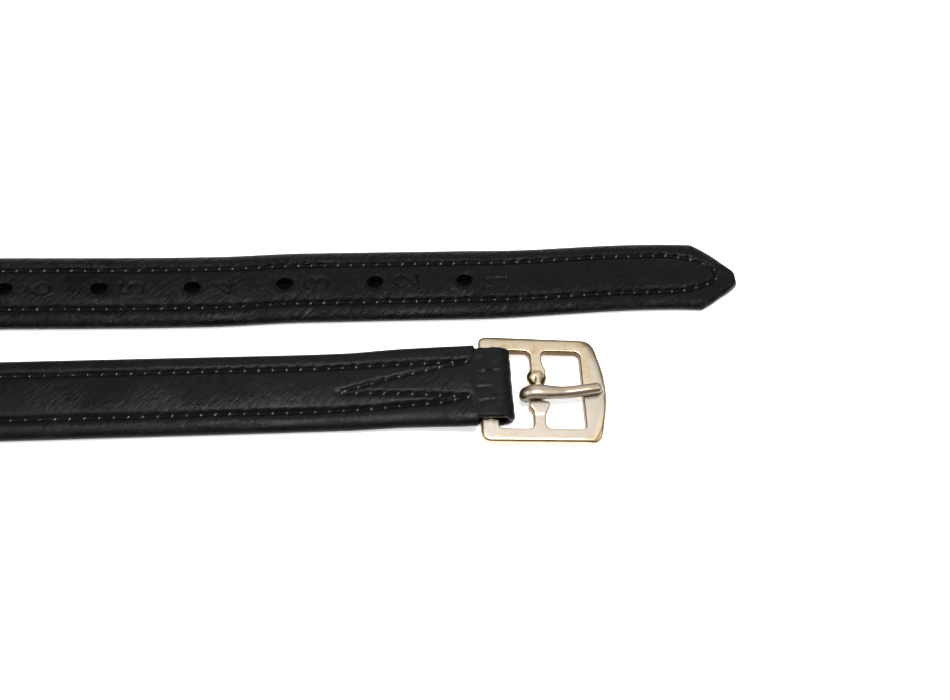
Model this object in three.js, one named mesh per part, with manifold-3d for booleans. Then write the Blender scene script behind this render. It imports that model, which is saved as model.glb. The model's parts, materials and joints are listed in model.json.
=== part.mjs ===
// An English stirrup leather: one long lined strap, doubled back on itself, with a pointed and
// punched end and a cast buckle sewn into the other end.
//
// Millimetres, +Z up. The strap lies on Z = 0 with both ends towards +X, grain side up. At the far
// (-X) end each run turns onto its edge and the two join in an upright U bend.
// Inside this file X = 0 is the buckle's end bar and Y = 0 is midway between the runs. The finished
// group is moved so that the row's origin is the middle of the box, at the bottom.
import * as THREE from 'three';
import { mergeVertices } from 'three/addons/utils/BufferGeometryUtils.js';
import Module from 'manifold-3d';

const wasm = await Module();
wasm.setup();

// ---- driving dimensions -------------------------------------------------------------------

const LENGTH = 1370;           // from the tip of the point to the end bar, along the strap
const RUN_SPACING = 42;        // between the middles of the two runs
const TIP_X = 94;              // how far the point reaches past the end bar
const GAP = 0.3;               // air between pieces that touch on the real strap

const STRAP_WIDTH = 28;
const THICKNESS = 4.6;         // cover + core + lining
const SKIN = 1.2;              // cover and lining leather
const EDGE_WALL = 1.3;         // cover leather where it turns down over the core's edges
const EDGE_ROUND = 1.9;        // radius of the rolled edges
const LIP = 7.8;               // how far the cover turns in underneath

const TWIST_LENGTH = 100;      // each run turns onto its edge over this length
const FLEX_X = -120;           // where the loose ends lift from

const HOLE_COUNT = 15;
const HOLE_PITCH = 31.75;
const FIRST_HOLE = 100;        // from the tip
const HOLE_RADIUS = 2.5;

const TIP_LENGTH = 14.3;       // length of the pointed part
const NOSE_HALF_WIDTH = 2.2;   // of its blunt nose
const TIP_BULGE = [6.6, 7.7];  // how far behind and beside the nose its sides bulge

const SHOULDER_X = -4.7;       // where the padded strap stops, beside the end bar
const LOOP_WIDTH = 25;         // trimmed leather that goes round the end bar
const LOOP_THICKNESS = 2.1;
const LOOP_Y = -0.5;           // its middle, from the middle of the run
const LOOP_TURN_X = 2.9;       // middle of its turn beyond the end bar
const LOOP_RISEN_X = -0.9;     // where it has climbed to its full height
const TURNED_BACK_X = -47;     // where the turned-back end stops, under the strap
const TURNED_BACK_TIP = 1.1;   // its thickness there
const RISE_LENGTH = 14;        // the strap climbs onto the turned-back end over this length
const TWIST_FACET = 4.2;       // widest flat facet across a layer that twists

const STITCH_INSET = 6.1;
const THREAD_WIDTH = 0.9;
const THREAD_HEIGHT = 0.5;
const SEAM_ARCH_X = 66;        // where the seam starts to curve round the tip
const SEAM_TIP_INSET = 6.6;    // from the tip to the top of that curve
const SEAM_ARCH_POWER = 1.2;   // how pointed that curve is
const SEAM_TURN_X = -7.5;      // where the long seams turn back into the V
const SEAM_APEX = [-51, -1.6];
const SEAM_LOWER_TURN_Y = -5.4;
const SEAM_LOWER_JOIN_X = -17; // where the V's lower end runs into the lower row

const END_BAR_Z = 4.4;         // height of the end bar's axis
const END_BAR_RADIUS = 2;
const BUCKLE_Y = -1.4;         // the buckle's middle, from the middle of the run
const BUCKLE_TILT = THREE.MathUtils.degToRad(3);
const FRAME_THICKNESS = 4.5;
const FRAME_ROUND = 1.1;       // softened edges of the casting
const FRAME_LEFT = -2.75;
const FRAME_HALF_HEIGHT = 19;
const FRAME_LEFT_ROUND = 3;    // radius of its two corners beside the end bar
const FRAME_CORNER_X = 33;     // where its straight sides end
const FRAME_CORNER_PULL = [36.2, 18.8];
const FRAME_BOW_START = [38, 13.2];
const FRAME_FRONT = 40.4;      // furthest point of the bowed front bar
const WINDOW_HALF_HEIGHT = 14.6;
const WINDOW_ROUND = 1.2;
const CENTRE_BAR_LEFT = 14.6;
const CENTRE_BAR_RIGHT = 18.4;
const FRONT_BAR_LEFT = 32.3;
const BEAD_Y = 5.5;
const BEAD_SIZE = [3.4, 2.75, 3];
const BLOCK_Y = [-8.2, -5.1];
const BLOCK_FOOT_Y = -9.6;     // where its slope runs out on the centre bar
const BLOCK_WIDTH = 7.3;

const TONGUE_Y = -2.6;         // the hook's place along the centre bar
const NECK_RADIUS = 1.6;       // of the centre bar inside the hook
const NECK_Y = [-4.9, 0.3];
const HOOK_TOP = 3.8;          // from the neck's axis to the middle of the hook, above it
const HOOK_BOTTOM = 2.7;       // and below it
const HOOK_END_RADIUS = 0.75;  // of the hook's thin end
const HOOK_TOP_RADIUS = 1.7;
const TONGUE_RADIUS = 1.85;
const TONGUE_TIP_X = 38.9;
const TONGUE_TIP_Y = -0.2;
const TONGUE_REST_DEPTH = 0.7; // of the shallow seat in the front bar

// ---- derived places -----------------------------------------------------------------------

const HALF_SPACING = RUN_SPACING / 2;
const HALF_THICKNESS = THICKNESS / 2;
const HALF_WIDTH = STRAP_WIDTH / 2;
const BEND_RADIUS = HALF_SPACING;
const BEND_LENGTH = Math.PI * BEND_RADIUS;
const FLAT_END_X = (TIP_X + 2 * TWIST_LENGTH + BEND_LENGTH - LENGTH) / 2;
const POINT_FLEX_S = TIP_X - FLEX_X;
const TWIST_START_S = TIP_X - FLAT_END_X;
const BEND_START_S = TWIST_START_S + TWIST_LENGTH;
const BEND_END_S = BEND_START_S + BEND_LENGTH;
const TWIST_END_S = BEND_END_S + TWIST_LENGTH;
const BUCKLE_FLEX_S = TWIST_END_S + FLEX_X - FLAT_END_X;
const SHOULDER_S = TWIST_END_S + SHOULDER_X - FLAT_END_X;
const CENTRE_BAR_X = (CENTRE_BAR_LEFT + CENTRE_BAR_RIGHT) / 2;

// ---- materials ----------------------------------------------------------------------------

const material = (color, roughness, metalness) =>
  new THREE.MeshStandardMaterial({ color, roughness, metalness });
const coverLeather = material(0x1b1b1d, 0.5, 0);
const liningLeather = material(0x242326, 0.65, 0);
const coreWebbing = material(0x2c2c30, 0.85, 0);
const thread = material(0x101011, 0.7, 0);
const castBrass = material(0xd9c6a0, 0.32, 1);
const tongueMetal = material(0xa08a70, 0.35, 1);

// ---- solids -------------------------------------------------------------------------------

function toSolid(geometry) {
  const plain = geometry.clone();
  plain.deleteAttribute('normal');
  plain.deleteAttribute('uv');
  const merged = mergeVertices(plain, 1e-4);
  const vertProperties = new Float32Array(merged.attributes.position.array);
  const triVerts = new Uint32Array(merged.index.array);
  return new wasm.Manifold(new wasm.Mesh({ numProp: 3, vertProperties, triVerts }));
}

function toGeometry(solid) {
  const { vertProperties, triVerts, numProp } = solid.getMesh();
  const positions = [];
  for (let i = 0; i < vertProperties.length; i += numProp) {
    positions.push(vertProperties[i], vertProperties[i + 1], vertProperties[i + 2]);
  }
  const geometry = new THREE.BufferGeometry();
  geometry.setAttribute('position', new THREE.Float32BufferAttribute(positions, 3));
  geometry.setIndex(Array.from(triVerts));
  geometry.computeVertexNormals();
  return geometry;
}

const union = (solids) => solids.reduce((whole, next) => whole.add(next));

function box([x0, x1], [y0, y1], [z0, z1]) {
  const geometry = new THREE.BoxGeometry(x1 - x0, y1 - y0, z1 - z0);
  return toSolid(geometry.translate((x0 + x1) / 2, (y0 + y1) / 2, (z0 + z1) / 2));
}

// A round bar along Y.
function barAlongY(x, z, radius, [y0, y1], sides = 20) {
  const geometry = new THREE.CylinderGeometry(radius, radius, y1 - y0, sides);
  return toSolid(geometry.translate(x, (y0 + y1) / 2, z));
}

// A flat outline made thick between two heights, with optional rounded edges.
function slab(shape, [z0, z1], round = 0, curveSegments = 4) {
  const geometry = new THREE.ExtrudeGeometry(shape, {
    depth: z1 - z0 - 2 * round,
    bevelEnabled: round > 0,
    bevelThickness: round,
    bevelSize: round,
    bevelOffset: -round,
    bevelSegments: 2,
    curveSegments,
  });
  return toSolid(geometry.translate(0, 0, z0 + round));
}

// ---- the strap's route --------------------------------------------------------------------

const smooth = (t) => THREE.MathUtils.smoothstep(t, 0, 1);

// How far the buckle end is lifted by the turned-back end beneath it.
function liftAt(x) {
  const along = (x - TURNED_BACK_X) / (SHOULDER_X - TURNED_BACK_X);
  const thickness = TURNED_BACK_TIP + (LOOP_THICKNESS - TURNED_BACK_TIP) * Math.max(0, along);
  return (thickness + GAP) * smooth((x - TURNED_BACK_X + RISE_LENGTH) / RISE_LENGTH);
}

// Frame of the strap at developed length s: the middle of its thickness, and the directions
// across it (towards the outside of the doubled strap) and up out of its grain side.
function frameAt(s) {
  const onBend = s > BEND_START_S && s < BEND_END_S;
  if (onBend) {
    const turn = Math.PI / 2 + (s - BEND_START_S) / BEND_RADIUS;
    const up = new THREE.Vector3(Math.cos(turn), Math.sin(turn), 0);
    const origin = up.clone().multiplyScalar(BEND_RADIUS);
    origin.x += FLAT_END_X - TWIST_LENGTH;
    origin.z = HALF_WIDTH;
    return { origin, across: new THREE.Vector3(0, 0, -1), up };
  }
  const onPoint = s <= BEND_START_S;
  const side = onPoint ? 1 : -1;
  const intoTwist = onPoint ? s - TWIST_START_S : TWIST_END_S - s;
  const roll = (Math.PI / 2) * THREE.MathUtils.clamp(intoTwist / TWIST_LENGTH, 0, 1);
  const x = onPoint ? TIP_X - s : FLAT_END_X + s - TWIST_END_S;
  const z = HALF_WIDTH * Math.sin(roll) + HALF_THICKNESS * Math.cos(roll);
  return {
    origin: new THREE.Vector3(x, side * HALF_SPACING, onPoint ? z : z + liftAt(x)),
    across: new THREE.Vector3(0, side * Math.cos(roll), -Math.sin(roll)),
    up: new THREE.Vector3(0, side * Math.sin(roll), Math.cos(roll)),
  };
}

function spread(from, to, count) {
  return Array.from({ length: count + 1 }, (_, i) => from + ((to - from) * i) / count);
}

const TWIST_STEPS = 14;
const BEND_STEPS = 12;
const MIDDLE_STATIONS = [
  POINT_FLEX_S + GAP / 2,
  ...spread(TWIST_START_S, BEND_START_S, TWIST_STEPS),
  ...spread(BEND_START_S, BEND_END_S, BEND_STEPS).slice(1),
  ...spread(BEND_END_S, TWIST_END_S, TWIST_STEPS).slice(1),
  BUCKLE_FLEX_S - GAP / 2,
];
const RISE_START_S = SHOULDER_S + TURNED_BACK_X - RISE_LENGTH - SHOULDER_X;
const BUCKLE_END_STATIONS = [
  BUCKLE_FLEX_S + GAP / 2,
  ...spread(RISE_START_S, RISE_START_S + RISE_LENGTH, 5),
  SHOULDER_S,
];

// A layer of the strap: its section, drawn as (up, across), is extruded along the developed
// length and then laid along the route.
function layLayer(section, stations) {
  const last = stations.length - 1;
  const geometry = new THREE.ExtrudeGeometry(section, {
    depth: last,
    steps: last,
    bevelEnabled: false,
    curveSegments: 3,
  });
  const position = geometry.attributes.position;
  const point = new THREE.Vector3();
  for (let i = 0; i < position.count; i += 1) {
    const s = stations[Math.round(position.getZ(i))];
    const { origin, across, up } = frameAt(s);
    point.copy(origin);
    point.addScaledVector(up, position.getX(i)).addScaledVector(across, position.getY(i));
    position.setXYZ(i, point.x, point.y, point.z);
  }
  return toSolid(geometry);
}

// ---- sections of the strap's layers -------------------------------------------------------

// A straight line across a section, in short steps, so that the layer can twist smoothly.
function lineAcross(section, height, from, to) {
  const steps = Math.ceil(Math.abs(to - from) / TWIST_FACET);
  for (const across of spread(from, to, steps)) section.lineTo(height, across);
}

// The cover wraps over the top and round both edges, and turns in underneath.
function coverSection() {
  const w = HALF_WIDTH;
  const h = HALF_THICKNESS;
  const r = EDGE_ROUND;
  const section = new THREE.Shape();
  section.moveTo(-h, -w + LIP);
  section.lineTo(-h + SKIN, -w + LIP);
  section.lineTo(-h + SKIN, -w + EDGE_WALL);
  lineAcross(section, h - SKIN, -w + EDGE_WALL, w - EDGE_WALL);
  section.lineTo(-h + SKIN, w - EDGE_WALL);
  section.lineTo(-h + SKIN, w - LIP);
  section.lineTo(-h, w - LIP);
  section.absarc(-h + r, w - r, r, Math.PI, Math.PI / 2, true);
  section.absarc(h - r, w - r, r, Math.PI / 2, 0, true);
  lineAcross(section, h, w - r, -w + r);
  section.absarc(h - r, -w + r, r, 0, -Math.PI / 2, true);
  section.absarc(-h + r, -w + r, r, -Math.PI / 2, -Math.PI, true);
  return section;
}

function flatSection(halfWidth, [low, high]) {
  const section = new THREE.Shape();
  section.moveTo(low, -halfWidth);
  lineAcross(section, high, -halfWidth, halfWidth);
  lineAcross(section, low, halfWidth, -halfWidth);
  return section;
}

const CORE_SPAN = [-HALF_THICKNESS + SKIN + GAP, HALF_THICKNESS - SKIN - GAP];
const LINING_SPAN = [-HALF_THICKNESS, -HALF_THICKNESS + SKIN];
const coreSection = () => flatSection(HALF_WIDTH - EDGE_WALL - GAP, CORE_SPAN);
const liningSection = () => flatSection(HALF_WIDTH - LIP - GAP, LINING_SPAN);

// ---- punched holes ------------------------------------------------------------------------

function punchedBy(solid) {
  let punched = solid;
  for (let i = 0; i < HOLE_COUNT; i += 1) {
    const x = TIP_X - FIRST_HOLE - i * HOLE_PITCH;
    const punch = new THREE.CylinderGeometry(HOLE_RADIUS, HOLE_RADIUS, 3 * THICKNESS, 12);
    punch.rotateX(Math.PI / 2).translate(x, HALF_SPACING, HALF_THICKNESS);
    punched = punched.subtract(toSolid(punch));
  }
  return punched;
}

// ---- the point end ------------------------------------------------------------------------

// Outline of the point end, drawn in from its edge by an inset. It runs on past the flex line.
function pointOutline(inset) {
  const tail = FLEX_X - STRAP_WIDTH;
  const nose = TIP_X - inset;
  const shoulder = TIP_X - TIP_LENGTH - 0.3 * inset;
  const noseHalf = Math.max(0.5, NOSE_HALF_WIDTH - 0.4 * inset);
  const wide = HALF_WIDTH - inset;
  const bulge = [nose - TIP_BULGE[0], noseHalf + TIP_BULGE[1]];
  const outline = new THREE.Shape();
  outline.moveTo(tail, -wide);
  outline.lineTo(shoulder, -wide);
  outline.quadraticCurveTo(bulge[0], -bulge[1], nose, -noseHalf);
  outline.lineTo(nose, noseHalf);
  outline.quadraticCurveTo(bulge[0], bulge[1], shoulder, wide);
  outline.lineTo(tail, wide);
  return outline;
}

function pointLayer(inset, heights, round = 0) {
  const layer = slab(pointOutline(inset), heights, round).translate([0, HALF_SPACING, 0]);
  const kept = [FLEX_X + GAP / 2, TIP_X + 1];
  return layer.intersect(box(kept, [0, RUN_SPACING], [-THICKNESS, 2 * THICKNESS]));
}

function pointCover() {
  const whole = pointLayer(0, [0, THICKNESS], EDGE_ROUND);
  const cavity = pointLayer(EDGE_WALL, [SKIN, THICKNESS - SKIN]);
  const mouth = pointLayer(LIP, [-1, SKIN + GAP]);
  return punchedBy(whole.subtract(cavity).subtract(mouth));
}

const pointCore = () =>
  punchedBy(pointLayer(EDGE_WALL + GAP, [SKIN + GAP, THICKNESS - SKIN - GAP]));
const pointLining = () => punchedBy(pointLayer(LIP + GAP, [0, SKIN]));

// ---- seams --------------------------------------------------------------------------------

// A line of stitching, as one thin strip that follows its points at the height of the surface.
function seam(points, heightAt) {
  const pieces = [];
  for (let i = 1; i < points.length; i += 1) {
    const [from, to] = [points[i - 1], points[i]];
    const reach = new THREE.Vector2().subVectors(to, from);
    const length = reach.length() + THREAD_WIDTH / 2;
    const strip = new THREE.BoxGeometry(length, THREAD_WIDTH, THREAD_HEIGHT);
    const slope = (heightAt(to.x) - heightAt(from.x)) / reach.length();
    const position = strip.attributes.position;
    for (let k = 0; k < position.count; k += 1) {
      position.setZ(k, position.getZ(k) + slope * position.getX(k));
    }
    strip.rotateZ(reach.angle());
    const height = (heightAt(to.x) + heightAt(from.x)) / 2 + GAP + THREAD_HEIGHT / 2;
    strip.translate((from.x + to.x) / 2, (from.y + to.y) / 2, height);
    pieces.push(toSolid(strip));
  }
  return union(pieces);
}

const vec = (x, y) => new THREE.Vector2(x, y);
const SEAM_Y = HALF_WIDTH - STITCH_INSET;
const SEAM_TAIL_X = FLEX_X + GAP / 2 + THREAD_WIDTH / 4;

// The two rows of the point end, joined by a curve round the tip.
function pointSeam() {
  const archLength = TIP_X - SEAM_TIP_INSET - SEAM_ARCH_X;
  const upper = [vec(SEAM_TAIL_X, SEAM_Y)];
  for (const turn of spread(90, 0, 8)) {
    const angle = THREE.MathUtils.degToRad(turn);
    const across = SEAM_Y * Math.sin(angle) ** SEAM_ARCH_POWER;
    upper.push(vec(SEAM_ARCH_X + archLength * Math.cos(angle), across));
  }
  const lower = upper.slice(0, -1).reverse().map((point) => vec(point.x, -point.y));
  return seam([...upper, ...lower], () => THICKNESS).translate([0, HALF_SPACING, 0]);
}

// One continuous line: along the upper row, back to the apex, forward again and along the
// lower row.
function buckleSeam() {
  const corners = [
    vec(SEAM_TAIL_X, SEAM_Y),
    vec(SEAM_TURN_X, SEAM_Y),
    vec(...SEAM_APEX),
    vec(SEAM_TURN_X, SEAM_LOWER_TURN_Y),
    vec(SEAM_LOWER_JOIN_X, -SEAM_Y),
    vec(SEAM_TAIL_X, -SEAM_Y),
  ];
  const riseKnots = spread(TURNED_BACK_X - RISE_LENGTH, TURNED_BACK_X, 4);
  const points = [];
  corners.forEach((corner, i) => {
    points.push(corner);
    const next = corners[i + 1];
    if (!next) return;
    const crossed = riseKnots.filter((x) => (x - corner.x) * (x - next.x) < 0);
    if (next.x < corner.x) crossed.reverse();
    for (const x of crossed) {
      points.push(corner.clone().lerp(next, (x - corner.x) / (next.x - corner.x)));
    }
  });
  return seam(points, (x) => THICKNESS + liftAt(x)).translate([0, -HALF_SPACING, 0]);
}

// One of the two long rows, from flex line to flex line round the far bend.
function middleSeam(side) {
  const stations = MIDDLE_STATIONS;
  const section = flatSection(THREAD_WIDTH / 2, [
    HALF_THICKNESS + GAP,
    HALF_THICKNESS + GAP + THREAD_HEIGHT,
  ]);
  const last = stations.length - 1;
  const geometry = new THREE.ExtrudeGeometry(section, {
    depth: last,
    steps: last,
    bevelEnabled: false,
  });
  const position = geometry.attributes.position;
  for (let i = 0; i < position.count; i += 1) {
    const s = stations[Math.round(position.getZ(i))];
    const { origin, across, up } = frameAt(s);
    const row = side * SEAM_Y + position.getY(i);
    origin.addScaledVector(up, position.getX(i)).addScaledVector(across, row);
    position.setXYZ(i, origin.x, origin.y, origin.z);
  }
  return toSolid(geometry);
}

// ---- the leather round the end bar --------------------------------------------------------

// Seen from the side: from the shoulder over the end bar, round it, and back under the strap.
function turnedBackEnd() {
  const inner = END_BAR_RADIUS + GAP;
  const half = LOOP_THICKNESS / 2;
  const line = [];
  const start = SHOULDER_X + GAP;
  const startZ = THICKNESS + liftAt(SHOULDER_X) - half;
  const topZ = END_BAR_Z + inner + half;
  for (const t of spread(0, 1, 5)) {
    line.push([start + (LOOP_RISEN_X - start) * t, startZ + (topZ - startZ) * smooth(t), half]);
  }
  for (const turn of spread(90, -90, 10)) {
    const angle = THREE.MathUtils.degToRad(turn);
    const reach = inner + half;
    line.push([LOOP_TURN_X + reach * Math.cos(angle), END_BAR_Z + reach * Math.sin(angle), half]);
  }
  line.push([SHOULDER_X, half, half]);
  line.push([TURNED_BACK_X, TURNED_BACK_TIP / 2, TURNED_BACK_TIP / 2]);

  const left = [];
  const right = [];
  line.forEach(([x, z, reach], i) => {
    const before = line[Math.max(0, i - 1)];
    const after = line[Math.min(line.length - 1, i + 1)];
    const normal = vec(before[1] - after[1], after[0] - before[0]).normalize();
    left.push(vec(x + normal.x * reach, z + normal.y * reach));
    right.push(vec(x - normal.x * reach, z - normal.y * reach));
  });
  const profile = new THREE.Shape([...left, ...right.reverse()]);
  const geometry = new THREE.ExtrudeGeometry(profile, { depth: LOOP_WIDTH, bevelEnabled: false });
  geometry.rotateX(Math.PI / 2).translate(0, LOOP_WIDTH / 2 + LOOP_Y - HALF_SPACING, 0);
  const aboveFloor = [0, 4 * THICKNESS];
  const floor = box([TURNED_BACK_X - 1, STRAP_WIDTH], [-RUN_SPACING, 0], aboveFloor);
  return toSolid(geometry).intersect(floor);
}

// ---- the buckle ---------------------------------------------------------------------------

function roundedWindow(x0, x1) {
  const r = WINDOW_ROUND;
  const y = WINDOW_HALF_HEIGHT;
  const hole = new THREE.Path();
  hole.moveTo(x0 + r, -y);
  hole.absarc(x1 - r, -y + r, r, -Math.PI / 2, 0, false);
  hole.absarc(x1 - r, y - r, r, 0, Math.PI / 2, false);
  hole.absarc(x0 + r, y - r, r, Math.PI / 2, Math.PI, false);
  hole.absarc(x0 + r, -y + r, r, Math.PI, 1.5 * Math.PI, false);
  return hole;
}

function frameOutline() {
  const y = FRAME_HALF_HEIGHT;
  const corner = FRAME_LEFT_ROUND;
  const [pullX, pullY] = FRAME_CORNER_PULL;
  const [bowX, bowY] = FRAME_BOW_START;
  const outline = new THREE.Shape();
  outline.moveTo(FRAME_LEFT + corner, -y);
  outline.lineTo(FRAME_CORNER_X, -y);
  outline.quadraticCurveTo(pullX, -pullY, bowX, -bowY);
  outline.quadraticCurveTo(2 * FRAME_FRONT - bowX, 0, bowX, bowY);
  outline.quadraticCurveTo(pullX, pullY, FRAME_CORNER_X, y);
  outline.lineTo(FRAME_LEFT + corner, y);
  outline.absarc(FRAME_LEFT + corner, y - corner, corner, Math.PI / 2, Math.PI, false);
  outline.absarc(FRAME_LEFT + corner, -y + corner, corner, Math.PI, 1.5 * Math.PI, false);
  outline.holes.push(roundedWindow(-FRAME_LEFT, CENTRE_BAR_LEFT));
  outline.holes.push(roundedWindow(CENTRE_BAR_RIGHT, FRONT_BAR_LEFT));
  return outline;
}

// The small block beside the tongue, seen from above.
function blockOutline() {
  const middle = CENTRE_BAR_X + 0.4;
  const [low, high] = BLOCK_Y;
  const wide = BLOCK_WIDTH / 2;
  const block = new THREE.Shape();
  block.moveTo(middle - wide, high);
  block.lineTo(middle - wide + 0.4, low + 1);
  block.lineTo(CENTRE_BAR_LEFT, BLOCK_FOOT_Y);
  block.lineTo(CENTRE_BAR_RIGHT, BLOCK_FOOT_Y);
  block.lineTo(middle + wide - 0.4, low + 1);
  block.lineTo(middle + wide, high);
  return block;
}

// One casting: the bowed frame, the round end bar inside the leather, and the centre bar with
// its bead, its block and the thin neck that the tongue hangs on.
function buckleFrame() {
  const half = FRAME_THICKNESS / 2;
  const through = [-FRAME_THICKNESS, FRAME_THICKNESS];
  let solid = slab(frameOutline(), [-half, half], FRAME_ROUND, 5);

  const slotHalf = LOOP_WIDTH / 2 + GAP + 0.1;
  const slotMiddle = LOOP_Y - BUCKLE_Y;
  const slotX = [FRAME_LEFT - 1, -FRAME_LEFT + 0.5];
  solid = solid.subtract(box(slotX, [slotMiddle - slotHalf, slotMiddle + slotHalf], through));
  const endBarHalf = WINDOW_HALF_HEIGHT + 1;
  solid = solid.add(barAlongY(0, 0, END_BAR_RADIUS, [-endBarHalf, endBarHalf]));

  const bead = new THREE.SphereGeometry(1, 12, 8);
  bead.scale(...BEAD_SIZE).translate(CENTRE_BAR_X, BEAD_Y, 0);
  solid = solid.add(toSolid(bead)).add(slab(blockOutline(), [-half, half], 0.5, 2));
  solid = solid.subtract(box([CENTRE_BAR_LEFT - 4, CENTRE_BAR_RIGHT + 4], NECK_Y, through));
  const neckEnds = [NECK_Y[0] - 1, BEAD_Y - 1];
  solid = solid.add(barAlongY(CENTRE_BAR_X, 0, NECK_RADIUS, neckEnds));

  const seatRadius = TONGUE_RADIUS + GAP;
  const seatLength = FRAME_FRONT - CENTRE_BAR_RIGHT;
  const seat = new THREE.CylinderGeometry(seatRadius, seatRadius, seatLength, 20);
  const seatX = FRONT_BAR_LEFT - 2 + seatLength / 2;
  const seatZ = half + seatRadius - TONGUE_REST_DEPTH;
  seat.rotateZ(Math.PI / 2).translate(seatX, TONGUE_TIP_Y - 0.2, seatZ);
  return solid.subtract(toSolid(seat));
}

// The tongue's rod: a hook round the neck, thinner underneath, then a straight shaft to a
// rounded tip that rests in the front bar's seat. Places are measured from the neck's axis.
function tongueRod() {
  const hookTurns = spread(-40, -270, 18);
  const shaftTop = FRAME_THICKNESS / 2 - TONGUE_REST_DEPTH + GAP + TONGUE_RADIUS;
  const reach = TONGUE_TIP_X - CENTRE_BAR_X;
  const stations = hookTurns.map((turn) => {
    const angle = THREE.MathUtils.degToRad(turn);
    const grown = THREE.MathUtils.smoothstep(-turn, 100, 250);
    const orbit = HOOK_BOTTOM + (HOOK_TOP - HOOK_BOTTOM) * grown;
    const radius = HOOK_END_RADIUS + (HOOK_TOP_RADIUS - HOOK_END_RADIUS) * grown;
    return { at: new THREE.Vector3(orbit * Math.cos(angle), 0, orbit * Math.sin(angle)), radius };
  });
  for (const t of [0.12, 0.3, 0.6, 0.9]) {
    const z = HOOK_TOP + (shaftTop - HOOK_TOP) * t;
    const y = (TONGUE_TIP_Y - TONGUE_Y) * t;
    const radius = t < 0.2 ? (HOOK_TOP_RADIUS + TONGUE_RADIUS) / 2 : TONGUE_RADIUS;
    stations.push({ at: new THREE.Vector3(reach * t, y, z), radius });
  }
  for (const back of [0.7, 0.3, 0]) {
    const round = Math.sqrt(Math.max(0.05, 1 - (1 - back) ** 2));
    const at = new THREE.Vector3(reach - back * TONGUE_RADIUS, TONGUE_TIP_Y - TONGUE_Y, shaftTop);
    stations.push({ at, radius: TONGUE_RADIUS * round });
  }
  return stations;
}

function tongue() {
  const stations = tongueRod();
  const last = stations.length - 1;
  const rod = new THREE.CylinderGeometry(1, 1, last, 12, last);
  const position = rod.attributes.position;
  const sideways = new THREE.Vector3(0, 1, 0);
  for (let i = 0; i < position.count; i += 1) {
    const k = Math.round(position.getY(i) + last / 2);
    const { at, radius } = stations[k];
    const before = stations[Math.max(0, k - 1)].at;
    const after = stations[Math.min(last, k + 1)].at;
    const along = new THREE.Vector3().subVectors(after, before).normalize();
    const out = new THREE.Vector3().crossVectors(along, sideways).normalize();
    const level = new THREE.Vector3().crossVectors(out, along);
    const point = at.clone().addScaledVector(out, position.getX(i) * radius);
    point.addScaledVector(level, position.getZ(i) * radius);
    position.setXYZ(i, point.x, point.y, point.z);
  }
  return toSolid(rod).translate([CENTRE_BAR_X, TONGUE_Y, 0]);
}

// ---- assembly -----------------------------------------------------------------------------

const strap = new THREE.Group();
const buckle = new THREE.Group();
buckle.position.set(0, BUCKLE_Y - HALF_SPACING, END_BAR_Z);
buckle.rotation.y = BUCKLE_TILT;
strap.add(buckle);

function piece(parent, name, solid, pieceMaterial) {
  const mesh = new THREE.Mesh(toGeometry(solid), pieceMaterial);
  mesh.name = name;
  parent.add(mesh);
}

piece(strap, 'middle_cover', punchedBy(layLayer(coverSection(), MIDDLE_STATIONS)), coverLeather);
piece(strap, 'middle_core', punchedBy(layLayer(coreSection(), MIDDLE_STATIONS)), coreWebbing);
piece(strap, 'middle_lining', punchedBy(layLayer(liningSection(), MIDDLE_STATIONS)), liningLeather);
piece(strap, 'middle_outer_seam', middleSeam(1), thread);
piece(strap, 'middle_inner_seam', middleSeam(-1), thread);

piece(strap, 'point_cover', pointCover(), coverLeather);
piece(strap, 'point_core', pointCore(), coreWebbing);
piece(strap, 'point_lining', pointLining(), liningLeather);
piece(strap, 'point_seam', pointSeam(), thread);

piece(strap, 'buckle_end_cover', layLayer(coverSection(), BUCKLE_END_STATIONS), coverLeather);
piece(strap, 'buckle_end_core', layLayer(coreSection(), BUCKLE_END_STATIONS), coreWebbing);
piece(strap, 'buckle_end_lining', layLayer(liningSection(), BUCKLE_END_STATIONS), liningLeather);
piece(strap, 'buckle_end_seam', buckleSeam(), thread);
piece(strap, 'turned_back_end', turnedBackEnd(), coverLeather);

piece(buckle, 'buckle_frame', buckleFrame(), castBrass);
piece(buckle, 'tongue', tongue(), tongueMetal);

const bounds = new THREE.Box3().setFromObject(strap, true);
const middle = bounds.getCenter(new THREE.Vector3());
strap.position.set(-middle.x, -middle.y, -bounds.min.z);

export default strap;
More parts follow.
